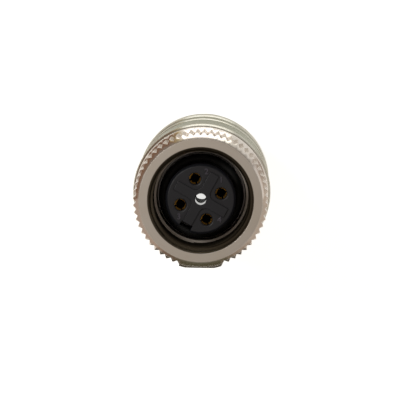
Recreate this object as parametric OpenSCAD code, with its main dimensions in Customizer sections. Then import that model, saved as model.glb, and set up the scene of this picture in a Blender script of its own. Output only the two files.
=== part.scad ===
// M12 A-coded four-pole cable socket with a metal housing, for wiring in the field.
// +Z runs from the cable end to the mating face, and the plug stands on its clamp nut.

/* [Coupling nut] */
// Length of the coupling nut
nut_len = 12.2; // [11:0.1:14]
// Tip diameter of the knurl
knurl_d = 15.86; // [15.4:0.02:16.1]
// Depth of a knurl groove
knurl_depth = 0.36; // [0.2:0.02:0.45]
// Teeth in a full turn of the knurl
knurl_teeth = 59; // [40:1:64]
// How far the smooth collar behind the knurl stands above the tips
nut_collar_rise = 0.23; // [0.1:0.01:0.5]
// Length of the smooth collar
nut_collar_len = 1.1; // [0.8:0.1:1.6]
// Chamfer round the front
nut_front_chamfer = 0.96; // [0.4:0.02:1.2]
// Nominal diameter of the coupling thread, bored to its root
coupling_thread_d = 12; // [12:0.1:12.2]
// Chamfer at the mouth, in front of the thread
nut_mouth_chamfer = 0.25; // [0.15:0.05:0.5]
// Length of the coupling thread
coupling_thread_len = 7.2; // [6:0.1:7.4]
// Width of the slip ring's rim, which the guide bore behind the thread clears
slip_ring_w = 0.77; // [0.7:0.01:0.85]
// Thickness of the inner flange that holds the nut on
nut_flange_t = 1.4; // [1:0.1:1.8]
// Half angle of the smooth land that breaks the knurl
land_half_angle = 17; // [10:0.5:24]
// Depth of the flat on the land, below the collar
land_flat_depth = 0.18; // [0.1:0.01:0.3]
// Endways play of the coupling nut
nut_play = 0.9; // [0.6:0.1:1.1]

/* [Contact carrier] */
// Diameter of the mating nose
nose_d = 8.3; // [8.1:0.05:8.4]
// How far the nose lies behind the nut's face
nose_recess = 2; // [1:0.1:3]
// Height of the raised cross on the mating face
cross_h = 0.2; // [0.1:0.05:0.3]
// Width of an arm of the cross
cross_w = 1.2; // [1:0.1:1.4]
// How far an arm of the cross ends inside the nose's wall
cross_inset = 0.75; // [0.5:0.05:1]
// Diameter of the circle that the contacts stand on
contact_circle_d = 5; // [4.9:0.05:5.1]
// Diameter of each contact hole in the mating face
contact_hole_d = 1.36; // [1.2:0.02:1.4]
// Diameter of the open centre hole
centre_hole_d = 1.34; // [1.2:0.02:1.4]
// Length of the narrow part of the centre hole
centre_hole_len = 8; // [5:0.5:9]
// Diameter of the empty centre cavity behind that hole
centre_cavity_d = 2.7; // [2.4:0.1:2.8]
// Width of the key slot
key_slot_w = 1.45; // [1.3:0.05:1.6]
// Depth of the key slot
key_slot_depth = 0.85; // [0.6:0.05:0.95]
// How far the neck that the nut turns on stands above the nose
neck_rise = 0.4; // [0.35:0.01:0.45]
// Length of the carrier inside the housing
carrier_rear_len = 5.4; // [4.5:0.1:6.5]

/* [Contacts and terminals] */
// Outer diameter of a contact barrel
barrel_d = 1.8; // [1.7:0.02:1.84]
// Bore of a contact, for a pin of 1 mm
socket_bore_d = 1.04; // [1.02:0.01:1.1]
// Length of the slotted tines
tine_len = 4.2; // [3:0.1:5]
// Width of a slit between the tines
tine_slit_w = 0.2; // [0.15:0.01:0.25]
// Diameter of a screw terminal
terminal_d = 3; // [2.8:0.05:3.1]
// How far a terminal's axis lies inside the terminal block's side
terminal_inset = 2.5; // [2.3:0.05:2.55]
// Bore of a terminal, for the wire
wire_bore_d = 1.5; // [1.2:0.05:1.6]
// Gap between the terminal block and the housing's thread
terminal_block_gap = 0.6; // [0.4:0.05:0.8]
// Length of the terminal block
terminal_block_len = 5.6; // [5:0.1:6]
// Thread diameter of a terminal screw
terminal_screw_d = 1.6; // [1.4:0.05:1.8]

/* [Collar and housing] */
// How far the collar's flange lies below the housing's sleeve
collar_flange_step = 0.4; // [0.2:0.05:0.6]
// Thickness of the collar's flange
collar_flange_t = 1.1; // [0.8:0.1:1.6]
// How far the thread that joins collar and housing lies inside the knurl's tips
body_thread_inset = 0.93; // [0.88:0.01:0.98]
// Length of the collar's threaded spigot
spigot_len = 5.5; // [4.8:0.1:6.1]
// Wall of the spigot, round the contact carrier
spigot_wall = 1.1; // [1:0.05:1.3]
// Wall of the housing's front sleeve
sleeve_wall = 1.5; // [1.3:0.05:1.8]
// Length of the housing's front sleeve
sleeve_len = 16.1; // [15.5:0.1:18]
// How far the spanner grip stands above the sleeve
grip_rise = 0.15; // [0.1:0.05:0.4]
// Length of the spanner grip
grip_len = 7.2; // [6:0.1:9]
// Depth of each of the two spanner flats
grip_flat_depth = 0.65; // [0.4:0.05:0.8]
// Wall of the housing's neck, under the gland thread
neck_wall = 1.5; // [1.2:0.05:1.6]
// Gap between the neck's end and the step inside the clamp nut
neck_gap = 1; // [0.5:0.1:1.5]
// Depth of the lip that stops the gland pieces
lip_depth = 0.8; // [0.6:0.05:1]
// Thickness of that lip
lip_t = 1.2; // [0.8:0.1:1.6]

/* [Cable gland] */
// Thickness of the shield ring
shield_ring_t = 1.6; // [1.2:0.1:2]
// Thickness of the pressure washer
washer_t = 0.6; // [0.4:0.1:1]
// Length of the closed ring of the clamping cage
cage_ring_len = 2; // [1.5:0.1:3]
// Number of fingers
fingers = 8; // [6:1:10]
// Slot between two fingers
finger_slot_w = 0.9; // [0.6:0.1:1.2]
// Wall of the clamping cage
cage_wall = 0.9; // [0.8:0.05:1]
// Bore of the cable seal
seal_bore_d = 8.2; // [7.6:0.1:8.4]
// Wall of the cable seal
seal_wall = 0.83; // [0.75:0.01:0.95]
// Thickness of the thrust ring
thrust_ring_t = 2; // [1.6:0.1:2.4]
// Overall length of the clamp nut
clamp_nut_len = 14.8; // [14:0.1:16]
// How far the clamp nut stands above the spanner grip
clamp_nut_rise = 0.25; // [0.1:0.05:0.4]
// Step from the clamp nut's rim down to its body
clamp_body_step = 0.3; // [0.2:0.05:0.4]
// Depth of each of the six flats on that body
clamp_flat_depth = 0.3; // [0.2:0.05:0.35]
// Thickness of the clamp nut's rear wall
clamp_wall_t = 5.1; // [4.5:0.1:5.4]
// Radial clearance of the bore in the rear wall, round the seal's bore
cable_bore_gap = 0.2; // [0.1:0.05:0.4]
// Radial rise of the flared cable entry
flare_rise = 1.3; // [0.8:0.1:1.6]
// Length of the flared cable entry
flare_len = 2.6; // [1.5:0.1:3]
// Gap between clamp nut and housing
clamp_gap = 0.6; // [0.3:0.1:1]

/* [Clearances] */
// Radial clearance of a turning or sliding fit
running_gap = 0.05; // [0.03:0.01:0.08]
// Radial clearance of a seated fit
seat_gap = 0.02; // [0.01:0.01:0.04]
// Gap that keeps soft and curved neighbours apart
soft_gap = 0.3; // [0.2:0.05:0.35]

/* [Hidden] */
$fn = 96;
cut = 1;
edge = 0.2;
chamfer = 0.3;
ring_edge = 0.08;

nut_z0 = clamp_nut_len + clamp_gap + grip_len + sleeve_len + collar_flange_t;
nut_z1 = nut_z0 + nut_len;
neck_d = nose_d + 2 * neck_rise;
nut_bore_d = neck_d + 2 * running_gap;
guide_d = nut_bore_d + 2 * (slip_ring_w + running_gap);
nut_mouth_d = coupling_thread_d + 2 * nut_mouth_chamfer;
nut_collar_d = knurl_d + 2 * nut_collar_rise;
front_chamfer = min(nut_front_chamfer, (nut_collar_d - nut_mouth_d) / 3);
land_flat_r = nut_collar_d / 2 - land_flat_depth;
nut_flange_z1 = nut_z0 + nut_flange_t;
thread_z0 = nut_z1 - nut_mouth_chamfer - coupling_thread_len;
knurl_z0 = nut_z0 + nut_collar_len;
knurl_pitch = 360 / knurl_teeth;
knurl_tip_w = 0.1;
knurl_phase = 1.6;
land_at = 269;

friction_ring_t = 0.6;
friction_ring_z1 = nut_flange_z1 + friction_ring_t;
friction_key_w = 1.2;
friction_key_h = 1;
friction_key_angles = [0, 180];
retainer_t = 1.2;
retainer_depth = 0.35;
retainer_wall = 1;
retainer_gap_w = 1.2;
retainer_gap_at = 30;
retainer_z0 = friction_ring_z1 + nut_play;
retainer_z1 = retainer_z0 + retainer_t;
face_seal_t = 1.1;
face_seal_seat = 0.2;
face_seal_room = 0.15;
face_seal_z1 = retainer_z1 + face_seal_t + face_seal_room;

nose_z1 = nut_z1 - nose_recess;
face_z = nose_z1 - cross_h;
nose_rim = 0.25;
hole_rim = 0.12;
cross_corner_r = 0.8;
contact_at = 15.6;
contact_angles = [for (i = [1:4]) contact_at + 90 * i];
cross_at = contact_at + 45;
key_at = cross_at + 180;

body_thread_d = knurl_d - 2 * body_thread_inset;
sleeve_d = body_thread_d + 2 * sleeve_wall;
collar_flange_d = sleeve_d - 2 * collar_flange_step;
flange_z0 = nut_z0 - collar_flange_t;
collar_bore_floor = 1.3;
collar_bore_z0 = flange_z0 - collar_bore_floor;
spigot_z0 = flange_z0 - spigot_len;
body_seal_t = 0.9;
body_seal_d = body_thread_d + 2 * body_seal_t;

carrier_d = body_thread_d - 2 * spigot_wall;
carrier_z0 = collar_bore_z0 - carrier_rear_len;
contact_gap = running_gap - seat_gap;
tine_cover = 0.6;
tine_z1 = face_z - tine_cover;
tine_z0 = tine_z1 - tine_len;
socket_len = tine_len + 1.8;
socket_lead_in = 0.28;
socket_point = 0.3;
terminal_z1 = carrier_z0;
terminal_block_d = body_thread_d - 2 * terminal_block_gap;
terminal_block_z0 = carrier_z0 - terminal_block_len;
terminal_r = terminal_block_d / 2 - terminal_inset;
terminal_floor = 0.6;
terminal_z0 = terminal_block_z0 + terminal_floor;
terminal_web = 0.8;
terminal_web_w = 0.8 * barrel_d;
terminal_wall = 0.55;
terminal_cavity_d = 2 * (terminal_r - terminal_d / 2 - terminal_wall);
screw_z = (terminal_z0 + terminal_z1) / 2;
screw_inner_r = terminal_r + wire_bore_d / 2;
screw_outer_r = terminal_block_d / 2 - chamfer;
screw_slot_w = 0.3;
screw_slot_depth = 0.45;

grip_d = sleeve_d + 2 * grip_rise;
grip_flat_r = grip_d / 2 - grip_flat_depth;
grip_z0 = clamp_nut_len + clamp_gap;
grip_z1 = grip_z0 + grip_len;
grip_shoulder = 1;
grip_flat_angles = [0, 180];
neck_chamfer = 0.4;
sleeve_chamfer = 0.35;
sleeve_groove_w = 0.5;
sleeve_groove_depth = 0.3;
lip_rise = 0.4;
lip_z1 = grip_z1 + lip_rise;
lip_z0 = lip_z1 - lip_t;

seal_d = seal_bore_d + 2 * seal_wall;
gland_d = seal_d + 2 * (cage_wall + seat_gap);
gland_bore_d = gland_d + 2 * running_gap;
gland_thread_d = gland_bore_d + 2 * neck_wall;
lip_d = gland_bore_d - 2 * lip_depth;
shield_z0 = lip_z0 - shield_ring_t;
shield_taper = 0.2;
washer_z0 = shield_z0 - washer_t;
washer_bore_gap = 0.3;
cage_z1 = washer_z0;
finger_z1 = cage_z1 - cage_ring_len;
thrust_z0 = clamp_wall_t;
thrust_z1 = thrust_z0 + thrust_ring_t;
thrust_cone = 1.2;
finger_z0 = thrust_z1 + soft_gap;
finger_tip = 0.5;
finger_relief = 0.1;
seal_inset = 0.6;
seal_z0 = finger_z0 + seal_inset;
rib_h = 0.3;
ribs = 4;
rib_flank = 1 / 3;

clamp_nut_d = grip_d + 2 * clamp_nut_rise;
clamp_body_r = clamp_nut_d / 2 - clamp_body_step;
clamp_flat_r = clamp_body_r - clamp_flat_depth;
clamp_flats = 6;
clamp_flat_at = 45;
clamp_recess_gap = 0.1;
clamp_recess_z1 = thrust_z1 - clamp_recess_gap;
neck_z0 = clamp_recess_z1 + neck_gap;
cable_bore_d = seal_bore_d + 2 * cable_bore_gap;
cable_mouth_d = cable_bore_d + 2 * flare_rise;
clamp_rim_len = 3.2;
clamp_flat_gap = 0.5;
clamp_chamfer = 0.45;
clamp_rear_bevel = 1.6;

// A point at a radius and an angle.
function polar(r, angle) = [r * cos(angle), r * sin(angle)];

// A ring turned from a square blank with small chamfers on all four edges.
module turned_ring(inner_d, outer_d, z0, z1, c) {
    ri = inner_d / 2;
    ro = outer_d / 2;
    rotate_extrude()
        polygon([[ri + c, z0], [ro - c, z0], [ro, z0 + c], [ro, z1 - c],
            [ro - c, z1], [ri + c, z1], [ri, z1 - c], [ri, z0 + c]]);
}

// An O-ring that lies round inner_d, with its underside at z0.
module o_ring(inner_d, section_d, z0) {
    translate([0, 0, z0 + section_d / 2])
        rotate_extrude()
            translate([(inner_d + section_d) / 2, 0])
                circle(d = section_d, $fn = 48);
}

// A straight bore from z0 to z1 at a place on a circle.
module bore_at(angle, r, d, z0, z1) {
    rotate([0, 0, angle])
        translate([r, 0, z0])
            cylinder(d = d, h = z1 - z0);
}

// ---- Coupling nut ----

module nut_blank() {
    full_r = nut_collar_d / 2;
    front_r = full_r - front_chamfer;
    rotate_extrude()
        polygon([
            [nut_bore_d / 2, nut_z0], [full_r - edge, nut_z0], [full_r, nut_z0 + edge],
            [full_r, nut_z1 - front_chamfer], [front_r, nut_z1], [nut_mouth_d / 2, nut_z1],
            [coupling_thread_d / 2, nut_z1 - nut_mouth_chamfer], [coupling_thread_d / 2, thread_z0],
            [guide_d / 2, thread_z0], [guide_d / 2, nut_flange_z1], [nut_bore_d / 2, nut_flange_z1]]);
}

// The outline of the grip: straight V grooves all round, apart from the land with its flat.
function knurl_outline() =
    let (
        tip_r = knurl_d / 2,
        half_groove = knurl_pitch / 2 - knurl_tip_w / knurl_d * 180 / PI,
        land_start = land_at - land_half_angle,
        land_end = land_at + land_half_angle,
        land_r = land_flat_r / cos(land_half_angle),
        first = ceil((land_end - knurl_phase) / knurl_pitch),
        last = floor((land_start + 360 - knurl_phase) / knurl_pitch) - 1
    )
    concat(
        [polar(land_r, land_start), polar(land_r, land_end)],
        [for (i = [first:last], side = [-1, 0, 1])
            polar(tip_r - (side == 0 ? knurl_depth : 0),
                knurl_phase + (i + 0.5) * knurl_pitch + side * half_groove)]);

// What is cut from the blank in front of the collar: a block with the grip's outline as its hole.
module knurl_cutter() {
    outline = knurl_outline();
    reach = nut_collar_d / 2 + cut;
    block = [[-reach, -reach], [reach, -reach], [reach, reach], [-reach, reach]];
    translate([0, 0, knurl_z0])
        linear_extrude(nut_len)
            polygon(concat(block, outline), [[0, 1, 2, 3], [for (i = [0:len(outline) - 1]) i + 4]]);
}

module coupling_nut() {
    color([0.74, 0.71, 0.67])
        difference() {
            nut_blank();
            knurl_cutter();
        }
}

// A slip ring that stops the nut from shaking loose. Its keys slide in the carrier's neck.
module friction_ring() {
    color([0.62, 0.63, 0.65])
        difference() {
            union() {
                turned_ring(nut_bore_d, nut_bore_d + 2 * slip_ring_w, nut_flange_z1, friction_ring_z1,
                    ring_edge);
                for (a = friction_key_angles)
                    rotate([0, 0, a])
                        translate([nose_d / 2 + running_gap, -friction_key_w / 2, nut_flange_z1])
                            cube([friction_key_h, friction_key_w, friction_ring_t]);
            }
            translate([0, 0, nut_flange_z1 - cut])
                cylinder(d = nose_d + 2 * running_gap, h = friction_ring_t + 2 * cut);
        }
}

// ---- Contact carrier ----

// The split ring that holds the nut on the neck and backs the face seal.
module retaining_ring() {
    inner_d = nose_d - 2 * retainer_depth + 2 * seat_gap;
    color([0.70, 0.69, 0.66])
        difference() {
            turned_ring(inner_d, nose_d + 2 * retainer_wall, retainer_z0, retainer_z1, ring_edge);
            rotate([0, 0, retainer_gap_at])
                translate([0, -retainer_gap_w / 2, retainer_z0 - cut])
                    cube([nose_d, retainer_gap_w, retainer_t + 2 * cut]);
        }
}

module face_seal() {
    color([0.12, 0.12, 0.12])
        o_ring(nose_d - 2 * face_seal_seat + 2 * seat_gap, face_seal_t, retainer_z1);
}

// The raised cross between the contacts, with rounded inner corners.
module face_cross() {
    w = cross_w / 2;
    arc = [for (t = [0:15:90]) [w + cross_corner_r * (1 - sin(t)), w + cross_corner_r * (1 - cos(t))]];
    for (a = [0:90:270])
        rotate([0, 0, cross_at + a]) {
            translate([0, -w, face_z - cut])
                cube([nose_d / 2 - cross_inset, cross_w, cross_h + cut]);
            translate([0, 0, face_z - cut])
                linear_extrude(cross_h + cut)
                    polygon(concat([[0, 0]], arc));
        }
}

// The room that a contact fills in the carrier and the terminal block: barrel, web and terminal.
module contact_room(gap) {
    barrel_r = contact_circle_d / 2;
    translate([barrel_r, 0, terminal_z1 - terminal_web])
        cylinder(d = barrel_d + 2 * gap, h = tine_z1 - terminal_z1 + terminal_web);
    translate([barrel_r, -terminal_web_w / 2 - gap, terminal_z1 - terminal_web])
        cube([terminal_r - barrel_r, terminal_web_w + 2 * gap, terminal_web]);
    translate([terminal_r, 0, terminal_z0])
        cylinder(d = terminal_d + 2 * gap, h = terminal_z1 - terminal_z0);
}

module contact_carrier() {
    color([0.16, 0.16, 0.18])
        difference() {
            union() {
                rotate_extrude()
                    polygon([
                        [0, carrier_z0], [carrier_d / 2, carrier_z0], [carrier_d / 2, collar_bore_z0],
                        [neck_d / 2, collar_bore_z0], [neck_d / 2, retainer_z0],
                        [nose_d / 2 - retainer_depth, retainer_z0],
                        [nose_d / 2 - retainer_depth, retainer_z1],
                        [nose_d / 2 - face_seal_seat, retainer_z1],
                        [nose_d / 2 - face_seal_seat, face_seal_z1], [nose_d / 2, face_seal_z1],
                        [nose_d / 2, face_z - nose_rim], [nose_d / 2 - nose_rim, face_z], [0, face_z]]);
                face_cross();
            }
            for (a = contact_angles) {
                bore_at(a, contact_circle_d / 2, contact_hole_d, tine_z1 - cut, face_z + cut);
                bore_at(a, contact_circle_d / 2, barrel_d + 2 * contact_gap, carrier_z0 - cut, tine_z1);
                rotate([0, 0, a])
                    translate([contact_circle_d / 2, 0, face_z - hole_rim])
                        cylinder(d1 = contact_hole_d, d2 = contact_hole_d + 2 * hole_rim, h = hole_rim);
            }
            bore_at(0, 0, centre_hole_d, face_z - centre_hole_len - cut, nose_z1 + cut);
            bore_at(0, 0, centre_cavity_d, carrier_z0 - cut, face_z - centre_hole_len);
            rotate([0, 0, key_at])
                translate([nose_d / 2 - key_slot_depth, -key_slot_w / 2, retainer_z1])
                    cube([nose_d, key_slot_w, nut_len]);
            for (a = friction_key_angles)
                rotate([0, 0, a])
                    translate([nose_d / 2, -friction_key_w / 2 - running_gap, nut_z0])
                        cube([friction_key_h, friction_key_w + 2 * running_gap, nut_len]);
        }
}

// ---- Contacts and terminals ----

module contact(angle) {
    color([0.83, 0.66, 0.28])
        rotate([0, 0, angle])
            difference() {
                contact_room(0);
                bore_at(0, contact_circle_d / 2, socket_bore_d, tine_z1 - socket_len, tine_z1 + cut);
                translate([contact_circle_d / 2, 0, tine_z1 - socket_len - socket_point])
                    cylinder(d1 = 0, d2 = socket_bore_d, h = socket_point);
                translate([contact_circle_d / 2, 0, tine_z1 - socket_lead_in])
                    cylinder(d1 = socket_bore_d, d2 = socket_bore_d + 2 * socket_lead_in, h = socket_lead_in);
                for (a = [0, 90])
                    translate([contact_circle_d / 2, 0, tine_z0])
                        rotate([0, 0, a])
                            translate([-barrel_d, -tine_slit_w / 2, 0])
                                cube([2 * barrel_d, tine_slit_w, tine_len + cut]);
                bore_at(0, terminal_r, wire_bore_d, terminal_z0 - cut, terminal_z1 - terminal_web);
                translate([terminal_r, 0, screw_z])
                    rotate([0, 90, 0])
                        cylinder(d = terminal_screw_d + 2 * seat_gap, h = terminal_d);
            }
}

module contact_1() { contact(contact_angles[0]); }
module contact_2() { contact(contact_angles[1]); }
module contact_3() { contact(contact_angles[2]); }
module contact_4() { contact(contact_angles[3]); }

module terminal_block() {
    color([0.14, 0.14, 0.15])
        difference() {
            turned_ring(terminal_cavity_d, terminal_block_d, terminal_block_z0, carrier_z0, chamfer);
            for (a = contact_angles)
                rotate([0, 0, a]) {
                    contact_room(contact_gap);
                    translate([terminal_r, 0, terminal_z0])
                        cylinder(d = terminal_d + 2 * contact_gap, h = terminal_block_len);
                    translate([terminal_r, 0, terminal_block_z0 - cut])
                        cylinder(d = wire_bore_d + 2 * edge, h = terminal_floor + 2 * cut);
                    translate([terminal_r, 0, screw_z])
                        rotate([0, 90, 0])
                            cylinder(d = terminal_screw_d + 2 * edge, h = terminal_block_d);
                }
        }
}

module terminal_screws() {
    color([0.72, 0.72, 0.74])
        for (a = contact_angles)
            rotate([0, 0, a])
                translate([0, 0, screw_z])
                    difference() {
                        translate([screw_inner_r, 0, 0])
                            rotate([0, 90, 0])
                                cylinder(d = terminal_screw_d, h = screw_outer_r - screw_inner_r);
                        translate([screw_outer_r - screw_slot_depth, -screw_slot_w / 2, -terminal_screw_d])
                            cube([cut, screw_slot_w, 2 * terminal_screw_d]);
                    }
}

// ---- Collar and housing ----

// The threaded metal collar, pressed on the carrier's neck.
module carrier_collar() {
    color([0.72, 0.70, 0.65])
        rotate_extrude()
            polygon([
                [carrier_d / 2 + seat_gap, spigot_z0], [body_thread_d / 2 - chamfer, spigot_z0],
                [body_thread_d / 2, spigot_z0 + chamfer], [body_thread_d / 2, flange_z0],
                [collar_flange_d / 2, flange_z0], [collar_flange_d / 2, nut_z0 - edge],
                [collar_flange_d / 2 - edge, nut_z0], [neck_d / 2 + seat_gap, nut_z0],
                [neck_d / 2 + seat_gap, collar_bore_z0], [carrier_d / 2 + seat_gap, collar_bore_z0]]);
}

module body_seal() {
    color([0.12, 0.12, 0.12])
        o_ring(body_thread_d, body_seal_t, flange_z0 - body_seal_t);
}

module housing_sleeve() {
    thread_r = body_thread_d / 2 + seat_gap;
    seal_r = body_seal_d / 2 + seat_gap;
    neck_r = gland_thread_d / 2;
    groove_r = sleeve_d / 2 - sleeve_groove_depth;
    groove_z1 = grip_z1 + sleeve_groove_w;
    color([0.70, 0.69, 0.62])
        difference() {
            rotate_extrude()
                polygon([
                    [gland_bore_d / 2, neck_z0], [neck_r - neck_chamfer, neck_z0],
                    [neck_r, neck_z0 + neck_chamfer], [neck_r, grip_z0],
                    [grip_d / 2 - chamfer, grip_z0], [grip_d / 2, grip_z0 + chamfer],
                    [grip_d / 2, grip_z1 - chamfer], [grip_d / 2 - chamfer, grip_z1],
                    [groove_r, grip_z1], [groove_r, groove_z1],
                    [sleeve_d / 2, groove_z1 + sleeve_groove_depth],
                    [sleeve_d / 2, flange_z0 - sleeve_chamfer],
                    [sleeve_d / 2 - sleeve_chamfer, flange_z0], [seal_r, flange_z0],
                    [seal_r, flange_z0 - body_seal_t], [thread_r, flange_z0 - body_seal_t],
                    [thread_r, lip_z1], [lip_d / 2, lip_z1], [lip_d / 2, lip_z0],
                    [gland_bore_d / 2, lip_z0]]);
            for (a = grip_flat_angles)
                rotate([0, 0, a])
                    translate([grip_flat_r, -grip_d / 2, grip_z0 + grip_shoulder])
                        cube([grip_d, grip_d, grip_len - 2 * grip_shoulder]);
        }
}

// ---- Cable gland ----

// A brass ring that presses the braid of a shielded cable against the housing.
module shield_ring() {
    color([0.78, 0.66, 0.36])
        rotate_extrude()
            polygon([
                [lip_d / 2 - shield_taper, shield_z0], [gland_d / 2, shield_z0],
                [gland_d / 2, lip_z0], [lip_d / 2, lip_z0]]);
}

module pressure_washer() {
    color([0.72, 0.72, 0.74])
        turned_ring(seal_bore_d + 2 * washer_bore_gap, gland_d, washer_z0, shield_z0, ring_edge);
}

// A ring of springy fingers that the clamp nut closes on the cable seal.
module clamping_cage() {
    outer_r = gland_d / 2;
    inner_r = outer_r - cage_wall;
    color([0.20, 0.20, 0.22])
        difference() {
            rotate_extrude()
                polygon([
                    [inner_r, finger_z0], [inner_r + edge, finger_z0],
                    [outer_r - finger_relief, finger_z0 + finger_tip],
                    [outer_r - finger_relief, finger_z1 - finger_tip],
                    [outer_r, finger_z1], [outer_r, cage_z1], [inner_r, cage_z1]]);
            for (i = [0:fingers - 1])
                rotate([0, 0, (i + 0.5) * 360 / fingers])
                    translate([0, -finger_slot_w / 2, finger_z0 - cut])
                        cube([gland_d, finger_slot_w, finger_z1 - finger_z0 + cut]);
        }
}

// The rubber sleeve that seals on the cable, ribbed inside.
module cable_seal() {
    outer_r = seal_d / 2;
    bore_r = seal_bore_d / 2;
    rib_pitch = (cage_z1 - seal_z0) / (ribs + 1);
    waves = [for (i = [1:ribs], s = [-1, 0, 1])
        [bore_r + (s == 0 ? 0 : rib_h), seal_z0 + rib_pitch * (i + s * rib_flank)]];
    color([0.10, 0.10, 0.10])
        rotate_extrude()
            polygon(concat(
                [[outer_r, cage_z1], [outer_r, seal_z0], [bore_r + rib_h, seal_z0]],
                waves,
                [[bore_r + rib_h, cage_z1]]));
}

// The ring between fingers and clamp nut, which slides with the nut but doesn't turn.
module thrust_ring() {
    outer_r = gland_d / 2;
    color([0.60, 0.60, 0.62])
        rotate_extrude()
            polygon([
                [cable_bore_d / 2, thrust_z0], [outer_r, thrust_z0], [outer_r, thrust_z1],
                [outer_r - edge, thrust_z1], [cable_bore_d / 2, thrust_z1 - thrust_cone]]);
}

module clamp_nut() {
    outer_r = clamp_nut_d / 2;
    thread_r = gland_thread_d / 2 + running_gap;
    recess_r = gland_bore_d / 2;
    bore_r = cable_bore_d / 2;
    flat_len = clamp_nut_len - clamp_rim_len;
    color([0.70, 0.69, 0.62])
        difference() {
            rotate_extrude()
                polygon([
                    [cable_mouth_d / 2, 0], [clamp_flat_r - chamfer, 0], [clamp_body_r, clamp_rear_bevel],
                    [clamp_body_r, flat_len], [outer_r, flat_len + clamp_body_step],
                    [outer_r, clamp_nut_len - clamp_chamfer], [outer_r - clamp_chamfer, clamp_nut_len],
                    [thread_r + chamfer, clamp_nut_len], [thread_r, clamp_nut_len - chamfer],
                    [thread_r, clamp_recess_z1], [recess_r, clamp_recess_z1], [recess_r, thrust_z0],
                    [bore_r, thrust_z0], [bore_r, flare_len]]);
            for (i = [0:clamp_flats - 1])
                rotate([0, 0, clamp_flat_at + i * 360 / clamp_flats])
                    translate([clamp_flat_r, -outer_r, -cut])
                        cube([outer_r, 2 * outer_r, flat_len - clamp_flat_gap + cut]);
        }
}

coupling_nut();
friction_ring();
retaining_ring();
face_seal();
contact_carrier();
contact_1();
contact_2();
contact_3();
contact_4();
terminal_block();
terminal_screws();
carrier_collar();
body_seal();
housing_sleeve();
shield_ring();
pressure_washer();
clamping_cage();
cable_seal();
thrust_ring();
clamp_nut();
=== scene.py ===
import math

import bmesh
import bpy
from bpy.props import FloatProperty, FloatVectorProperty, IntProperty, PointerProperty
from mathutils import Matrix, Vector


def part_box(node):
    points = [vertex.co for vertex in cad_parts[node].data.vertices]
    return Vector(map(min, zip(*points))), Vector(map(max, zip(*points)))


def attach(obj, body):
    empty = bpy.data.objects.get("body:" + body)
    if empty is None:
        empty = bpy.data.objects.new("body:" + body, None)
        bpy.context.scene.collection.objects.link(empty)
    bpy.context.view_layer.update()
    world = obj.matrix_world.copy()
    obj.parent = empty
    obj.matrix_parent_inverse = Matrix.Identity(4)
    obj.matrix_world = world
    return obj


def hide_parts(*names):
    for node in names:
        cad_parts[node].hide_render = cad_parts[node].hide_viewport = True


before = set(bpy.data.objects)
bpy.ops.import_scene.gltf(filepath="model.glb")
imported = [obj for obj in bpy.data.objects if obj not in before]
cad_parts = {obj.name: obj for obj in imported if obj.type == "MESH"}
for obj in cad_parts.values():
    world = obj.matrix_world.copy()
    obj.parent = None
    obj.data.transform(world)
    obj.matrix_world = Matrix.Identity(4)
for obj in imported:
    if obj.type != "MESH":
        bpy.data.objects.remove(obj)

bl_info = {
    "name": "Round Cable Socket",
    "version": (1, 0, 0),
    "blender": (4, 5, 0),
    "location": "View3D > Sidebar > Cable Socket",
    "description": "Threads, numbers, finishes and a small studio for a round cable socket",
    "category": "Add Mesh",
}

MM = 0.001
AXIS = Vector((0, 0, 1))
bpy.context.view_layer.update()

# Places on the solids that their boxes give.
FRONT_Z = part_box("coupling_nut")[1].z
COLLAR_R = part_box("coupling_nut")[1].x
FACE_TOP_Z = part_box("contact_carrier")[1].z
CONTACT_TOP_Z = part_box("contact_1")[1].z
NECK_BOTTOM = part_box("housing_sleeve")[0].z

# Sizes of the solids that no box gives.
NUT_MOUTH_R = 6.25 * MM
NUT_LEDGE_Z = 44.55 * MM
KNURL_Z = 40.9 * MM
NECK_R = 7.4 * MM
NECK_TOP = 15.4 * MM
CORE_R = 0.67 * MM
CORE_DEPTH = 3.0 * MM

# Inside this radius the nut's front face is duller.
DULL_FACE_R = 7.2 * MM
# The plate's tones as shares of its colour: where it is warm, and where painted shade darkens the
# bore.
WARM_PLATE = (0.97, 0.95, 0.92)
BORE_SHADE = (0.12, 0.105, 0.08)
# What each mark of making adds to a finish's roughness, and what the contacts add deep in their
# holes.
LATHE_ROUGHNESS = 0.10
GRAIN_ROUGHNESS = 0.05
DULL_ROUGHNESS = 0.27
DEEP_HOLE_ROUGHNESS = 0.35

# How near a vertex has to be to a wall or a step to count as lying on it.
TOUCH = 0.01 * MM
# How far inside the collar's rim the knurl's grooves end.
RIM = 0.05 * MM
# How deep the carrier's front reaches, whose edges are broken wider than the others.
FACE_DEPTH = 0.25 * MM
# Vertices nearer than these are one, on a copy of a solid and on a thread's ridge.
MERGE_SOLID = 1e-3 * MM
MERGE_RIDGE = 1e-4 * MM
# Edges that turn by more than this are corners, and faces that turn by less are one face.
CORNER = math.radians(28)
FLAT = math.radians(0.2)

# A thread's ridge: half its foot and half its crest as shares of the pitch, and the steps of
# each flank. Its foot sinks into the wall, and its crest and end stay inside the solid's box.
RIDGE_FOOT = 0.42
RIDGE_CREST = 0.12
FLANK_STEPS = 6
SINK = 0.02 * MM
CREST_GAP = 0.01 * MM

# Each contact number and the side that it stands on, in degrees from +X towards +Y.
NUMBERS = (("1", 43), ("2", 78), ("3", 219), ("4", 312))

WHITE = (1.0, 1.0, 1.0)
BLACK = (0.0, 0.0, 0.0)
ROOM_GREY = (0.80, 0.80, 0.80)

# The lamps: name, place, width and height in metres, watts and colour.
LAMPS = (
    ("key_softbox", (-0.16, 0.12, 0.36), (0.09, 0.09), 0.34, (1.0, 0.98, 0.95)),
    ("back_softbox", (0.04, 0.40, 0.05), (0.34, 0.10), 0.165, (1.0, 0.98, 0.96)),
    ("side_softbox", (0.36, 0.08, 0.16), (0.22, 0.22), 0.07, (0.97, 0.98, 1.0)),
)

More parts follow.
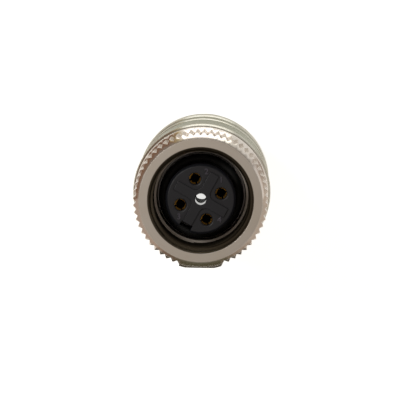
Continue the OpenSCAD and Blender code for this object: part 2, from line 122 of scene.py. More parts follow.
# The cards that hang round the plug, as degrees from +X towards +Y and the card's colour.
CARDS = (
    (-180, (0.27, 0.155, 0.10)),
    (-176, (0.54, 0.42, 0.36)),
    (-132, (0.54, 0.42, 0.35)),
    (-122, (0.22, 0.14, 0.10)),
    (-104, (0.11, 0.10, 0.06)),
    (-74, (0.11, 0.10, 0.06)),
    (-60, (0.34, 0.26, 0.20)),
    (-40, (0.60, 0.50, 0.43)),
    (0, (0.62, 0.53, 0.46)),
    (24, (0.42, 0.34, 0.29)),
    (38, (0.98, 0.95, 0.92)),
    (58, (0.93, 0.91, 0.87)),
    (66, (0.55, 0.55, 0.48)),
    (72, (0.97, 0.97, 0.96)),
    (106, (0.97, 0.96, 0.93)),
    (112, (0.66, 0.52, 0.24)),
    (119, (0.25, 0.14, 0.09)),
    (180, (0.27, 0.155, 0.10)),
)
# Over the cards the tent is pale on its -Y side, dim on its +Y side and warm grey at the top.
CLOTH_PALE = (0.62, 0.58, 0.53)
CLOTH_DIM = (0.30, 0.27, 0.24)
CLOTH_TOP = (0.330, 0.286, 0.245)
# Where each part of the tent gives way to the next, in y or z on a sphere of radius 1.
CARDS_END_Z = (0.06, 0.30)
TOP_BEGINS_Z = (0.55, 0.90)
PALE_TO_DIM_Y = (-0.60, 0.60)
OPENING_BEGINS_Y = (0.93, 0.95)
OPENING_ENDS_Z = (0.06, 0.20)


# ---- Settings ----

class ThreadSizes(bpy.types.PropertyGroup):
    """The ridge of the coupling thread, in the nut's bore."""
    pitch: FloatProperty(
        name="Pitch", description="Rise in one turn", default=1.0 * MM,
        unit="LENGTH", precision=5)
    root_r: FloatProperty(
        name="Root radius", description="Radius of the nut's bore", default=6.0 * MM,
        unit="LENGTH", precision=5)
    crest_r: FloatProperty(
        name="Crest radius", description="Radius of the ridge's top", default=5.66 * MM,
        unit="LENGTH", precision=5)
    front: FloatProperty(
        name="Front", description="Where the thread runs out, behind the face", default=0.25 * MM,
        unit="LENGTH", precision=5)
    lead_in: FloatProperty(
        name="Lead-in", description="Slope of the cone that cuts the first turn, from the axis",
        default=math.radians(24), subtype="ANGLE")
    length: FloatProperty(
        name="Length", description="Length of the thread", default=6.9 * MM,
        unit="LENGTH", precision=5)
    start: FloatProperty(
        name="Start", description="Where the thread runs out at the front",
        default=math.radians(225), subtype="ANGLE")
    steps: IntProperty(name="Steps", description="Steps in a turn", default=72, min=24, max=128)


class NeckThreadSizes(bpy.types.PropertyGroup):
    """The thread on the housing's neck, which the clamp nut runs on."""
    pitch: FloatProperty(
        name="Pitch", description="Rise in one turn", default=1.0 * MM,
        unit="LENGTH", precision=5)
    depth: FloatProperty(
        name="Depth", description="Depth of the thread", default=0.33 * MM,
        unit="LENGTH", precision=5)
    first: FloatProperty(
        name="First turn", description="Where the thread begins, above the neck's end",
        default=0.2 * MM, unit="LENGTH", precision=5)
    chamfer: FloatProperty(
        name="Chamfer", description="How far the neck's end is cut back, at 45 degrees",
        default=0.4 * MM, unit="LENGTH", precision=5)
    run_out: FloatProperty(
        name="Run-out", description="Plain length under the spanner grip", default=0.7 * MM,
        unit="LENGTH", precision=5)
    fade: FloatProperty(
        name="Fade", description="Length over which the last turn grows shallow",
        default=0.6 * MM, unit="LENGTH", precision=5)
    fade_slope: FloatProperty(
        name="Fade slope", description="How fast the last turn grows shallow", default=0.9)
    end_gap: FloatProperty(
        name="End gap", description="How far the ridge stays above the neck's end",
        default=0.06 * MM, unit="LENGTH", precision=5)
    steps: IntProperty(name="Steps", description="Steps in a turn", default=72, min=24, max=128)


class NumberSizes(bpy.types.PropertyGroup):
    """The raised numbers beside the contact holes."""
    height: FloatProperty(
        name="Height", description="Height of a number", default=0.95 * MM,
        unit="LENGTH", precision=5)
    relief: FloatProperty(
        name="Relief", description="How far a number stands out", default=0.1 * MM,
        unit="LENGTH", precision=5)
    rounding: FloatProperty(
        name="Rounding", description="Share of the relief that the rounded edge takes",
        default=0.3, min=0, max=1)
    depth: FloatProperty(
        name="Depth", description="How far the numbers' middle lies below the face's top",
        default=0.2 * MM, unit="LENGTH", precision=5)
    circle_r: FloatProperty(
        name="Circle", description="Distance of a number from the axis", default=3.3 * MM,
        unit="LENGTH", precision=5)


class EdgeSizes(bpy.types.PropertyGroup):
    """How wide the broken edges of the finished copies are."""
    nut: FloatProperty(
        name="Nut", description="Edges of the coupling nut", default=0.03 * MM,
        unit="LENGTH", precision=5)
    housing: FloatProperty(
        name="Housing", description="Edges of the collar, the housing and the clamp nut",
        default=0.05 * MM, unit="LENGTH", precision=5)
    carrier: FloatProperty(
        name="Carrier", description="Edges of the contact carrier", default=0.03 * MM,
        unit="LENGTH", precision=5)
    face: FloatProperty(
        name="Face", description="Edges at the contact carrier's front", default=0.13 * MM,
        unit="LENGTH", precision=5)


class Finishes(bpy.types.PropertyGroup):
    """Colours of the finishes."""
    nickel: FloatVectorProperty(
        name="Nickel", description="Plated nut", default=(0.66, 0.62, 0.57),
        subtype="COLOR", size=3)
    nickel_glancing: FloatVectorProperty(
        name="Nickel, glancing", description="Plated nut, seen along its surface",
        default=(0.48, 0.42, 0.36), subtype="COLOR", size=3)
    # Painted reflection: the housing's colour is a little olive, and its glancing tint dark olive,
    # to show the olive surroundings that the plating reflects.
    housing: FloatVectorProperty(
        name="Housing", description="Plated housing", default=(0.50, 0.49, 0.432),
        subtype="COLOR", size=3)
    housing_glancing_reflection: FloatVectorProperty(
        name="Housing, glancing", description="Plated housing, seen along its surface",
        default=(0.16, 0.165, 0.07), subtype="COLOR", size=3)
    steel: FloatVectorProperty(
        name="Steel", description="Rings and screws", default=(0.60, 0.60, 0.61),
        subtype="COLOR", size=3)
    brass: FloatVectorProperty(
        name="Brass", description="Shield ring", default=(0.72, 0.56, 0.27),
        subtype="COLOR", size=3)
    gold: FloatVectorProperty(
        name="Gold", description="Contacts", default=(0.66, 0.47, 0.16),
        subtype="COLOR", size=3)
    moulding: FloatVectorProperty(
        name="Moulding", description="Contact carrier", default=(0.013, 0.014, 0.019),
        subtype="COLOR", size=3)
    cage: FloatVectorProperty(
        name="Cage", description="Clamping cage", default=(0.05, 0.05, 0.055),
        subtype="COLOR", size=3)
    # Painted highlight: the numbers are lighter than the moulding to stand for the glints on their
    # raised edges, not polish from handling.
    number: FloatVectorProperty(
        name="Numbers", description="Raised numbers, polished by handling",
        default=(0.062, 0.058, 0.078), subtype="COLOR", size=3)
    rubber: FloatVectorProperty(
        name="Rubber", description="Seals", default=(0.018, 0.018, 0.018),
        subtype="COLOR", size=3)


class StudioSettings(bpy.types.PropertyGroup):
    """The floor, the mat, the light tent and the camera."""
    floor_r: FloatProperty(
        name="Floor", description="Radius of the round floor", default=0.26, unit="LENGTH")
    floor_drop: FloatProperty(
        name="Floor drop", description="How far the floor lies below the plug",
        default=0.02 * MM, unit="LENGTH", precision=5)
    floor_colour: FloatVectorProperty(
        name="Floor colour", description="Paint of the floor", default=(0.86, 0.86, 0.85),
        subtype="COLOR", size=3)
    floor_glow: FloatProperty(
        name="Floor glow", description="How bright the floor is seen in shade",
        default=0.84, min=0, max=1)
    mat_inner_r: FloatProperty(
        name="Mat, inner", description="Inner radius of the dark mat", default=14 * MM,
        unit="LENGTH")
    mat_outer_r: FloatProperty(
        name="Mat, outer", description="Outer radius of the dark mat", default=0.24,
        unit="LENGTH")
    mat_height: FloatProperty(
        name="Mat height", description="Height of the dark mat", default=0.1 * MM,
        unit="LENGTH", precision=5)
    mat_begin: FloatProperty(
        name="Mat, begin", description="Where the dark mat begins, from +X towards +Y",
        default=math.radians(-132), subtype="ANGLE")
    mat_angle: FloatProperty(
        name="Mat, angle", description="How far the dark mat reaches round the plug",
        default=math.radians(84), subtype="ANGLE")
    mat_colour: FloatVectorProperty(
        name="Mat colour", description="Colour of the dark mat", default=(0.07, 0.06, 0.045),
        subtype="COLOR", size=3)
    tent_r: FloatProperty(
        name="Tent", description="Radius of the light tent", default=1.2, unit="LENGTH")
    camera_place: FloatVectorProperty(
        name="Camera", description="Place of the camera",
        default=(2.4 * MM, 16.3 * MM, 262 * MM), subtype="TRANSLATION", size=3)
    camera_aim: FloatVectorProperty(
        name="Aim", description="Point that the camera looks at",
        default=(-0.06 * MM, 0.066 * MM, 52 * MM), subtype="TRANSLATION", size=3)
    lens: FloatProperty(name="Lens", description="Focal length in millimetres", default=163.0)


# ---- Shader helpers ----

def arithmetic(operation):
    """The plain and the reflected method of one operator, each of which adds a Math node."""
    def plain(wire, other):
        return wire.paint.compute(operation, wire, other)

    def reflected(wire, other):
        return wire.paint.compute(operation, other, wire)

    return plain, reflected


class Wire:
    """One output of a node. Arithmetic on it adds Math nodes."""

    __add__, __radd__ = arithmetic("ADD")
    __sub__, __rsub__ = arithmetic("SUBTRACT")
    __mul__, __rmul__ = arithmetic("MULTIPLY")
    __truediv__, __rtruediv__ = arithmetic("DIVIDE")
    __pow__, __rpow__ = arithmetic("POWER")

    def __init__(self, paint, socket):
        self.paint = paint
        self.socket = socket


class Paint:
    """The nodes of one material or world."""

    def __init__(self, owner):
        owner.use_nodes = True
        self.owner = owner
        self.tree = owner.node_tree
        self.tree.nodes.clear()

    def node(self, kind, settings=None, inputs=None, output=0):
        """Adds a node, with its settings first and then its sockets.

        Gives the output that is named, a list for a tuple of them, and nothing for None.
        """
        made = self.tree.nodes.new(kind)
        for name, value in (settings or {}).items():
            if name == "stops":
                self.set_stops(made.color_ramp, value)
            else:
                setattr(made, name, value)
        for key, value in (inputs or {}).items():
            self.plug(made.inputs[key], value)
        if output is None:
            return None
        if isinstance(output, tuple):
            return [Wire(self, made.outputs[key]) for key in output]
        return Wire(self, made.outputs[output])

    def set_stops(self, ramp, stops):
        """Gives a colour ramp its stops, as places from 0 to 1 and colours."""
        while len(ramp.elements) < len(stops):
            ramp.elements.new(1.0)
        for element, (place, colour) in zip(ramp.elements, stops):
            element.position = place
            element.color = (*colour, 1.0)

    def plug(self, socket, value):
        """Links a wire to a socket, or sets the socket to a number or a colour."""
        if isinstance(value, Wire):
            self.tree.links.new(value.socket, socket)
        elif socket.type == "RGBA" and len(value) == 3:
            socket.default_value = (*value, 1.0)
        else:
            socket.default_value = value

    def compute(self, operation, a, b):
        """A Math node on two numbers or wires."""
        return self.node("ShaderNodeMath", {"operation": operation}, {0: a, 1: b})

    def mix(self, factor, a, b):
        """A blend of two colours."""
        return self.node(
            "ShaderNodeMix", {"data_type": "RGBA"}, {0: factor, 6: a, 7: b}, output=2)

    def ease(self, value, low, high):
        """0 below low and 1 above high, with a smooth step between."""
        return self.node(
            "ShaderNodeMapRange", {"interpolation_type": "SMOOTHSTEP"},
            {"Value": value, "From Min": low, "From Max": high})

    def parts(self, vector):
        """The X, Y and Z of a vector."""
        return self.node("ShaderNodeSeparateXYZ", None, {0: vector}, output=(0, 1, 2))

    def millimetres(self):
        """The point on the surface, in millimetres."""
        point = self.node("ShaderNodeTexCoord", output="Object")
        return self.node(
            "ShaderNodeVectorMath", {"operation": "SCALE"}, {0: point, "Scale": 1 / MM})

    def noise(self, vector, scale, detail=2.0, roughness=0.5):
        """Soft noise from 0 to 1, whose marks are about 1 / scale long."""
        return self.node(
            "ShaderNodeTexNoise", None,
            {"Vector": vector, "Scale": scale, "Detail": detail, "Roughness": roughness})

    def radius(self, x, y):
        """The distance from the plug's axis."""
        return (x * x + y * y) ** 0.5

    def turned(self, x, y, z, fineness, drift=0.15):
        """Fine rings round the axis, as a lathe leaves them on faces and on walls."""
        place = self.node(
            "ShaderNodeCombineXYZ", None,
            {"X": self.radius(x, y) * fineness, "Y": z * fineness, "Z": x * drift})
        return self.noise(place, scale=1.0, detail=3.0, roughness=0.6)

    def bump(self, height, strength, distance):
        return self.node(
            "ShaderNodeBump", None,
            {"Height": height, "Strength": strength, "Distance": distance})

    def emission(self, colour):
        return self.node("ShaderNodeEmission", None, {"Color": colour, "Strength": 1.0})

    def mix_shader(self, factor, a, b):
        return self.node("ShaderNodeMixShader", None, {0: factor, 1: a, 2: b})

    def seen_rays(self):
        """1 for the rays that show a thing, directly, in metal or through an opening."""
        camera, glossy, transmission = self.node(
            "ShaderNodeLightPath",
            output=("Is Camera Ray", "Is Glossy Ray", "Is Transmission Ray"))
        return self.compute("MINIMUM", camera + glossy + transmission, 1.0)

    def finish(self, shader):
        """Wires the shader to the material's surface, and gives the material."""
        self.node("ShaderNodeOutputMaterial", None, {"Surface": shader}, output=None)
        return self.owner

    def principled(self, inputs):
        """Finishes the material with the standard surface."""
        return self.finish(self.node("ShaderNodeBsdfPrincipled", None, inputs))


def surface(name):
    """The nodes of a new material, in whose formulas lengths are in millimetres."""
    return Paint(bpy.data.materials.new(name))


def toned(colour, *factors):
    """A colour times one factor, or times a factor for each of its channels."""
    if len(factors) == 1:
        factors *= 3
    return tuple(channel * factor for channel, factor in zip(colour, factors))


def turned_nickel(name, colour, glancing, roughness, dull_r=None, bore=None):
    """Nickel plate over turned brass. The face inside dull_r is duller than the rest.

    In the bore, given as its mouth's radius and its floor's height, painted shade makes the plate
    dark.
    """
    paint = surface(name)
    point = paint.millimetres()
    x, y, z = paint.parts(point)
    rings = paint.turned(x, y, z, fineness=14.0)
    cloud = paint.noise(point, scale=0.35, detail=3.0)
    grain = paint.noise(point, scale=9.0)
    tint = paint.mix(paint.ease(cloud, 0.3, 0.8), colour, toned(colour, *WARM_PLATE))
    rough = roughness + rings * LATHE_ROUGHNESS + grain * GRAIN_ROUGHNESS
    if dull_r:
        rim = dull_r / MM
        dull = 1.0 - paint.ease(paint.radius(x, y), rim - 0.02, rim + 0.04)
        rough = rough + dull * DULL_ROUGHNESS
    if bore:
        mouth, floor = (size / MM for size in bore)
        inside = 1.0 - paint.ease(paint.radius(x, y), mouth - 0.06, mouth + 0.01)
        # Painted shade: the bore's walls above the ledge are darkened, where little light reaches
        # them.
        bore_shade = inside * paint.ease(z, floor + 0.05, floor + 0.15)
        tint = paint.mix(bore_shade, tint, toned(colour, *BORE_SHADE))
    return paint.principled(
        {"Base Color": tint, "Metallic": 1.0, "Roughness": rough, "Specular Tint": glancing,
         "Normal": paint.bump(rings * 0.7 + grain * 0.3, strength=0.25, distance=0.012 * MM)})


def contact_gold(name, colour, roughness, front_z):
    """Gold plate that is bright on the tips, and darkened and dulled down the bore by painted
    shade.
    """
    paint = surface(name)
    point = paint.millimetres()
    z = paint.parts(point)[2]
    grain = paint.noise(point, scale=6.0)
    # Painted shade: the gold darkens down the hole, where the light is blocked.
    hole_shade = paint.ease(front_z / MM - z, 0.05, 0.9)
    return paint.principled(
        {"Base Color": paint.mix(hole_shade, colour, toned(colour, 0.12)), "Metallic": 1.0,
         "Roughness": roughness + grain * 0.12 + hole_shade * DEEP_HOLE_ROUGHNESS,
         "Normal": paint.bump(grain, strength=0.2, distance=0.01 * MM)})


def plain_metal(name, colour, roughness):
    """Small turned or stamped pieces with light machining marks."""
    paint = surface(name)
    x, y, z = paint.parts(paint.millimetres())
    rings = paint.turned(x, y, z, fineness=9.0)
    return paint.principled(
        {"Base Color": paint.mix(rings, toned(colour, 0.88), colour), "Metallic": 1.0,
         "Roughness": roughness + rings * 0.14,
         "Normal": paint.bump(rings, strength=0.2, distance=0.01 * MM)})


def moulded(name, colour, roughness, texture, core=None):
    """Moulded nylon or rubber, whose fine eroded texture has the size given.

    Round the axis, a core pin leaves a glossy wall: core gives its radius and its end's height.
    """
    paint = surface(name)
    point = paint.millimetres()
    x, y, z = paint.parts(point)
    grain = paint.noise(point, scale=MM / texture, detail=4.0, roughness=0.65)
    cloud = paint.noise(point, scale=0.5)
    rough = roughness + grain * 0.16
    height = grain
    if core:
        pin, end = (size / MM for size in core)
        glossy = 1.0 - paint.ease(paint.radius(x, y), pin + 0.02, pin + 0.06)
        glossy = glossy * paint.ease(z, end - 0.3, end + 0.3)
        rough = rough * (1.0 - glossy) + glossy * 0.05
        height = grain * (1.0 - glossy)
    return paint.principled(
        {"Base Color": paint.mix(cloud, toned(colour, 0.82), toned(colour, 1.18)),
         "Roughness": rough, "Specular IOR Level": 0.4,
         "Normal": paint.bump(height, strength=0.35, distance=0.015 * MM)})


# ---- Meshes ----

def put(name, bm, material):
    """Makes a bmesh an object of the scene, in one material."""
    mesh = bpy.data.meshes.new(name)
    bm.to_mesh(mesh)
    bm.free()
    mesh.materials.append(material)
    thing = bpy.data.objects.new(name, mesh)
    bpy.context.scene.collection.objects.link(thing)
    return thing


def add_piece(name, bm, body, material):
    """Makes a bmesh a finished piece that rides on a body."""
    piece = put(name, bm, material)
    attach(piece, body)
    return piece


def shade(bm, sharp_deg=30):
    """Smooth shading, apart from edges sharper than sharp_deg."""
    limit = math.radians(sharp_deg)
    for face in bm.faces:
        face.smooth = True
    for edge in bm.edges:
        edge.smooth = edge.calc_face_angle(0) < limit


def soften(node, width, body, material, wider=None, reshape=None):
    """Stands a copy of a solid, with its edges broken, in the solid's place.

    wider gives a second, larger width, and a test of an edge's middle that says where it goes.
    reshape is run on the mesh before its edges are broken.
    """
    bm = bmesh.new()
    bm.from_mesh(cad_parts[node].data)
    bmesh.ops.remove_doubles(bm, verts=bm.verts, dist=MERGE_SOLID)
    if reshape:
        reshape(bm)
    bmesh.ops.dissolve_limit(bm, angle_limit=FLAT, verts=bm.verts, edges=bm.edges)
    if wider:
        wide, belongs = wider
        round_corners(bm, wide, segments=3, belongs=belongs)
    round_corners(bm, width, segments=2)
    shade(bm, sharp_deg=32)
    piece = add_piece(node + "_finished", bm, body, material)
    flatten = piece.modifiers.new("flat_faces", "WEIGHTED_NORMAL")
    flatten.mode = "FACE_AREA"
    flatten.weight = 60
    flatten.keep_sharp = True
    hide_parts(node)


def round_corners(bm, width, segments, belongs=None):
    """Bevels the outer corners, or those of them whose middle passes the test."""
    corners = [edge for edge in bm.edges
               if edge.is_convex and edge.calc_face_angle(0) > CORNER
               and (not belongs or belongs((edge.verts[0].co + edge.verts[1].co) / 2))]
    bmesh.ops.bevel(
        bm, geom=corners, offset=width, offset_type="OFFSET", segments=segments, profile=0.5,
        affect="EDGES", clamp_overlap=True, material=-1)


def run_out_knurl(bm):
    """Ends the grooves on a cone, up to the collar's rim, where the knurling wheel left the nut."""
    for vert in bm.verts:
        radius = vert.co.xy.length
        if abs(vert.co.z - KNURL_Z) < TOUCH and radius < COLLAR_R - RIM:
            vert.co.z += COLLAR_R - radius


def thin_neck(depth):
    """Turns the neck down by the depth of its thread, whose ridge stands on it."""
    def reshape(bm):
        for vert in bm.verts:
            radius = vert.co.xy.length
            if abs(radius - NECK_R) < TOUCH and vert.co.z < NECK_TOP + TOUCH:
                vert.co.xy *= (NECK_R - depth) / radius
    return reshape


def wind_ridge(pitch, foot_r, crest_r, bottom, turns, steps, end_angle):
    """A V-shaped ridge with a flat crest, on a right-hand helix from bottom up to end_angle."""
    foot, crest = RIDGE_FOOT * pitch, RIDGE_CREST * pitch
    shares = [step / FLANK_STEPS for step in range(FLANK_STEPS + 1)]
    flank = [(foot_r + (crest_r - foot_r) * share, foot + (crest - foot) * share)
             for share in shares]
    section = [(r, -z) for r, z in flank] + [(crest_r, 0)] + flank[::-1]
    bm = bmesh.new()
    corners = [bm.verts.new((r, 0, bottom + z)) for r, z in section]
    first = bm.faces.new(corners)
    begin = Matrix.Rotation(end_angle - turns * math.tau, 3, "Z")
    bmesh.ops.rotate(bm, verts=corners, cent=(0, 0, 0), matrix=begin)
    count = round(turns * steps)
    bmesh.ops.spin(
        bm, geom=[first, *first.edges, *first.verts], cent=(0, 0, 0), axis=AXIS,
        dvec=AXIS * (pitch * turns / count), angle=turns * math.tau, steps=count, use_merge=False)
    return bm


def close_ridge(bm):
    """Cleans up a ridge after its ends are cut back, and shades it."""
    bmesh.ops.remove_doubles(bm, verts=bm.verts, dist=MERGE_RIDGE)
    bmesh.ops.dissolve_degenerate(bm, dist=MERGE_RIDGE, edges=bm.edges)
    bmesh.ops.recalc_face_normals(bm, faces=bm.faces)
    shade(bm, sharp_deg=12)


def dress(material, *nodes):
    """Gives CAD nodes a finish."""
    for name in nodes:
        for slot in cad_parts[name].material_slots:
            slot.material = material


# ---- Operators ----

class PLUG_OT_finishes(bpy.types.Operator):
    """Give every solid piece its finish"""
    bl_idname = "plug.finishes"
    bl_label = "Finishes"

    def execute(self, context):
        colours = context.scene.plug_finishes
        nut = turned_nickel(
            "nut_nickel", colours.nickel, colours.nickel_glancing, roughness=0.07,
            dull_r=DULL_FACE_R, bore=(NUT_MOUTH_R, NUT_LEDGE_Z))
        # The housing's olive colour and glancing tint are a painted reflection.
        housing = turned_nickel(
            "housing_nickel", colours.housing, colours.housing_glancing_reflection, roughness=0.14)
        steel = plain_metal("ring_steel", colours.steel, roughness=0.24)
        brass = plain_metal("ring_brass", colours.brass, roughness=0.28)
        gold = contact_gold(
            "contact_gold", colours.gold, roughness=0.2, front_z=CONTACT_TOP_Z)
        moulding = moulded(
            "carrier_moulding", colours.moulding, roughness=0.33, texture=0.08 * MM,
            core=(CORE_R, FACE_TOP_Z - CORE_DEPTH))
        cage = moulded("cage_moulding", colours.cage, roughness=0.45, texture=0.1 * MM)
        rubber = moulded("seal_rubber", colours.rubber, roughness=0.5, texture=0.12 * MM)
        dress(nut, "coupling_nut")
        dress(housing, "carrier_collar", "housing_sleeve", "clamp_nut")
        dress(steel, "friction_ring", "retaining_ring", "terminal_screws", "pressure_washer",
              "thrust_ring")
        dress(brass, "shield_ring")
        dress(gold, "contact_1", "contact_2", "contact_3", "contact_4")
        dress(moulding, "contact_carrier", "terminal_block")
        dress(cage, "clamping_cage")
        dress(rubber, "face_seal", "body_seal", "cable_seal")
        return {"FINISHED"}


class PLUG_OT_broken_edges(bpy.types.Operator):
    """Break the edges of the pieces that show"""
    bl_idname = "plug.broken_edges"
    bl_label = "Broken Edges"

    def execute(self, context):
        edges = context.scene.plug_edges
        nut = bpy.data.materials["nut_nickel"]
        housing = bpy.data.materials["housing_nickel"]
        soften("coupling_nut", edges.nut, "coupling_nut", nut,
               reshape=run_out_knurl)
        soften("carrier_collar", edges.housing, "plug_body", housing)
        soften("housing_sleeve", edges.housing, "plug_body", housing,
               reshape=thin_neck(context.scene.plug_neck_thread.depth))
        soften("clamp_nut", edges.housing, "clamp_nut", housing)
        soften("contact_carrier", edges.carrier, "plug_body",
               bpy.data.materials["carrier_moulding"],
               wider=(edges.face, lambda middle: middle.z > FACE_TOP_Z - FACE_DEPTH))
        return {"FINISHED"}


class PLUG_OT_coupling_thread(bpy.types.Operator):
    """Cut the coupling nut's thread: a ridge that winds down from its entry chamfer"""
    bl_idname = "plug.coupling_thread"
    bl_label = "Coupling Thread"

    def execute(self, context):
        sizes = context.scene.plug_thread
        hidden_r = sizes.root_r + SINK
        cone_z = FRONT_Z - sizes.front
        bm = wind_ridge(
            sizes.pitch, hidden_r, sizes.crest_r, cone_z - sizes.length,
            sizes.length / sizes.pitch, sizes.steps, sizes.start)
        slope = math.tan(sizes.lead_in)
        for vert in bm.verts:
            radius = vert.co.xy.length
            cone_r = sizes.root_r - (cone_z - vert.co.z) * slope
            if cone_r > radius:
                vert.co.xy *= min(cone_r, hidden_r) / radius
            vert.co.z = min(vert.co.z, cone_z - SINK)
        close_ridge(bm)
        add_piece("coupling_thread", bm, "coupling_nut",
                  bpy.data.materials["nut_nickel"])
        return {"FINISHED"}


class PLUG_OT_neck_thread(bpy.types.Operator):
    """Cut the thread on the housing's neck, under the clamp nut"""
    bl_idname = "plug.neck_thread"
    bl_label = "Neck Thread"

    def execute(self, context):
        sizes = context.scene.plug_neck_thread
        hidden_r = NECK_R - sizes.depth - SINK
        first_z = NECK_BOTTOM + sizes.first
        last_z = NECK_TOP - sizes.run_out
        bm = wind_ridge(
            sizes.pitch, hidden_r, NECK_R - CREST_GAP, first_z,
            (last_z - first_z) / sizes.pitch, sizes.steps, 0.0)
        for vert in bm.verts:
            radius = vert.co.xy.length
            begin_r = NECK_R - sizes.chamfer + vert.co.z - NECK_BOTTOM
            end_r = NECK_R - (vert.co.z - last_z + sizes.fade) * sizes.fade_slope
            limit = max(min(begin_r, end_r), hidden_r)
            if radius > limit:
                vert.co.xy *= limit / radius
            vert.co.z = max(vert.co.z, NECK_BOTTOM + sizes.end_gap)
        close_ridge(bm)
        add_piece("neck_thread", bm, "plug_body",
                  bpy.data.materials["housing_nickel"])
        return {"FINISHED"}


class PLUG_OT_numbers(bpy.types.Operator):
    """Raise a plain number beside each contact hole"""
    bl_idname = "plug.numbers"
    bl_label = "Contact Numbers"

    def execute(self, context):
        sizes = context.scene.plug_numbers
        out = Vector((sizes.circle_r, 0, FACE_TOP_Z - sizes.depth))
        # Painted highlight: the numbers' lighter colour stands for the glints on their edges.
        material = moulded(
            "number_highlight_moulding", context.scene.plug_finishes.number, roughness=0.22,
            texture=0.08 * MM)
        for number, degrees in NUMBERS:
            curve = bpy.data.curves.new("number_" + number, "FONT")
            curve.body = number
            curve.align_x = "CENTER"
            curve.align_y = "CENTER"
            curve.size = sizes.height
            curve.extrude = sizes.relief * (1 - sizes.rounding)
            curve.bevel_depth = sizes.relief * sizes.rounding
            drawn = bpy.data.objects.new("drawn", curve)
            bm = bmesh.new()
            bm.from_mesh(drawn.to_mesh())
            bpy.data.objects.remove(drawn)
            place = Matrix.Rotation(math.radians(degrees), 3, "Z") @ out
            bmesh.ops.translate(bm, verts=bm.verts, vec=place)
            shade(bm)
            add_piece("number_" + number, bm, "plug_body", material)
        return {"FINISHED"}


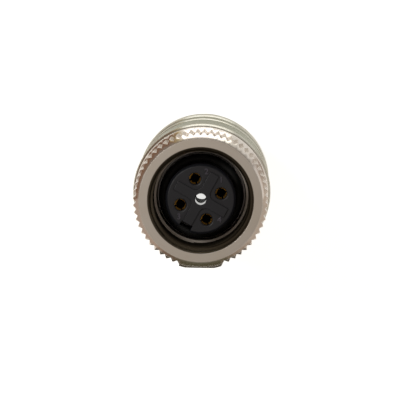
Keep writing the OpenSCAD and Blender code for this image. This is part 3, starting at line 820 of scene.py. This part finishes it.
class PLUG_OT_studio(bpy.types.Operator):
    """Set up the pale floor, the mat, the light tent, the soft lamps and the camera"""
    bl_idname = "plug.studio"
    bl_label = "Studio"

    def execute(self, context):
        studio = context.scene.plug_studio
        self.lay_floor(studio)
        self.light_world(context.scene)
        self.pitch_tent(studio)
        self.lay_mat(studio)
        for lamp in LAMPS:
            self.hang_lamp(*lamp)
        self.place_camera(context.scene, studio)
        context.scene.view_settings.view_transform = "Standard"
        return {"FINISHED"}

    def lay_floor(self, studio):
        """A round paper floor, clear from below so that the plug's rear can be looked at."""
        bm = bmesh.new()
        bmesh.ops.create_circle(
            bm, cap_ends=True, segments=96, radius=studio.floor_r,
            matrix=Matrix.Translation((0, 0, -studio.floor_drop)))
        paint = surface("floor_paint")
        paper = paint.node("ShaderNodeBsdfDiffuse", None, {"Color": studio.floor_colour})
        lit = toned(studio.floor_colour, studio.floor_glow)
        glow = paint.emission(paint.mix(paint.seen_rays(), BLACK, lit))
        top = paint.node("ShaderNodeAddShader", None, {0: paper, 1: glow})
        below = paint.node("ShaderNodeNewGeometry", output="Backfacing")
        clear = paint.node("ShaderNodeBsdfTransparent")
        floor = put("floor", bm, paint.finish(paint.mix_shader(below, top, clear)))

    def light_world(self, scene):
        """A white background, and a plain level of light for everything else."""
        scene.world = bpy.data.worlds.new("white_room")
        paint = Paint(scene.world)
        colour = paint.mix(paint.seen_rays(), ROOM_GREY, WHITE)
        glow = paint.node("ShaderNodeBackground", None, {"Color": colour, "Strength": 1.0})
        paint.node("ShaderNodeOutputWorld", None, {"Surface": glow}, output=None)

    def pitch_tent(self, studio):
        """A soft tent with coloured cards round it, open to the white world on its +Y side."""
        bm = bmesh.new()
        bmesh.ops.create_uvsphere(bm, u_segments=96, v_segments=48, radius=studio.tent_r)
        bmesh.ops.reverse_faces(bm, faces=bm.faces)
        shade(bm, sharp_deg=90)
        paint = surface("tent_cloth")
        point = paint.node("ShaderNodeTexCoord", output="Object")
        x, y, z = paint.parts(
            paint.node("ShaderNodeVectorMath", {"operation": "NORMALIZE"}, {0: point}))
        turn = paint.compute("ARCTAN2", y, x) / math.tau + 0.5
        stops = [((degrees + 180) / 360, colour) for degrees, colour in CARDS]
        cards = paint.node("ShaderNodeValToRGB", {"stops": stops}, {0: turn})
        cloth = paint.mix(paint.ease(y, *PALE_TO_DIM_Y), CLOTH_PALE, CLOTH_DIM)
        cloth = paint.mix(paint.ease(z, *CARDS_END_Z), cards, cloth)
        cloth = paint.mix(paint.ease(z, *TOP_BEGINS_Z), cloth, CLOTH_TOP)
        opening = paint.ease(y, *OPENING_BEGINS_Y) * (1.0 - paint.ease(z, *OPENING_ENDS_Z))
        clear = paint.node("ShaderNodeBsdfTransparent")
        tent = paint.finish(paint.mix_shader(opening, paint.emission(cloth), clear))
        self.stand_unseen("light_tent", bm, tent, "camera", "shadow")

    def lay_mat(self, studio):
        """A dark mat on the -Y side, which shows only in the plating."""
        bm = bmesh.new()
        ends = [bm.verts.new((radius, 0, studio.mat_height))
                for radius in (studio.mat_inner_r, studio.mat_outer_r)]
        side = bm.edges.new(ends)
        begin = Matrix.Rotation(studio.mat_begin, 3, "Z")
        bmesh.ops.rotate(bm, verts=ends, cent=(0, 0, 0), matrix=begin)
        bmesh.ops.spin(
            bm, geom=[side, *ends], cent=(0, 0, 0), axis=AXIS, angle=studio.mat_angle,
            steps=21, use_merge=False)
        paint = surface("mat_cloth")
        mat = paint.finish(paint.emission(studio.mat_colour))
        self.stand_unseen("dark_mat", bm, mat, "camera", "diffuse", "shadow", "transmission")

    def stand_unseen(self, name, bm, material, *rays):
        """Stands a glowing thing in the studio, where rays of these kinds miss it."""
        material.cycles.emission_sampling = "NONE"
        thing = put(name, bm, material)
        for ray in rays:
            setattr(thing, "visible_" + ray, False)

    def hang_lamp(self, name, place, size, watts, colour):
        """A soft box, aimed at the plug's middle and out of the camera's sight."""
        light = bpy.data.lights.new(name, "AREA")
        light.shape = "RECTANGLE"
        light.size, light.size_y = size
        light.energy = watts
        light.color = colour
        lamp = bpy.data.objects.new(name, light)
        lamp.location = place
        aim = Vector((0, 0, FRONT_Z / 2)) - lamp.location
        lamp.rotation_mode = "QUATERNION"
        lamp.rotation_quaternion = aim.to_track_quat("-Z", "Y")
        lamp.visible_camera = False
        bpy.context.scene.collection.objects.link(lamp)

    def place_camera(self, scene, studio):
        """Looks down on the mating face, with +Y up in the view."""
        data = bpy.data.cameras.new("camera")
        data.lens = studio.lens
        data.clip_start = 0.01
        data.clip_end = 20.0
        camera = bpy.data.objects.new("camera", data)
        place = Vector(studio.camera_place)
        ahead = (Vector(studio.camera_aim) - place).normalized()
        right = ahead.cross(Vector((0, 1, 0))).normalized()
        turn = Matrix((right, right.cross(ahead), -ahead)).transposed()
        camera.matrix_world = Matrix.Translation(place) @ turn.to_4x4()
        scene.collection.objects.link(camera)
        scene.camera = camera


class PLUG_PT_panel(bpy.types.Panel):
    """Shows a button for each operator that builds the plug and its studio"""
    bl_label = "Cable Socket"
    bl_idname = "PLUG_PT_panel"
    bl_space_type = "VIEW_3D"
    bl_region_type = "UI"
    bl_category = "Cable Socket"

    def draw(self, context):
        for operator in OPERATORS:
            self.layout.operator(operator.bl_idname)


SETTINGS = {
    "plug_thread": ThreadSizes,
    "plug_neck_thread": NeckThreadSizes,
    "plug_numbers": NumberSizes,
    "plug_edges": EdgeSizes,
    "plug_finishes": Finishes,
    "plug_studio": StudioSettings,
}
OPERATORS = (
    PLUG_OT_finishes, PLUG_OT_broken_edges, PLUG_OT_coupling_thread, PLUG_OT_neck_thread,
    PLUG_OT_numbers, PLUG_OT_studio)


def register():
    for name, group in SETTINGS.items():
        bpy.utils.register_class(group)
        setattr(bpy.types.Scene, name, PointerProperty(type=group))
    for operator in OPERATORS:
        bpy.utils.register_class(operator)
    bpy.utils.register_class(PLUG_PT_panel)


def unregister():
    bpy.utils.unregister_class(PLUG_PT_panel)
    for operator in reversed(OPERATORS):
        bpy.utils.unregister_class(operator)
    for name, group in reversed(SETTINGS.items()):
        delattr(bpy.types.Scene, name)
        bpy.utils.unregister_class(group)


def main():
    register()
    bpy.ops.plug.finishes()
    bpy.ops.plug.broken_edges()
    bpy.ops.plug.coupling_thread()
    bpy.ops.plug.neck_thread()
    bpy.ops.plug.numbers()
    bpy.ops.plug.studio()


if __name__ == "__main__":
    main()
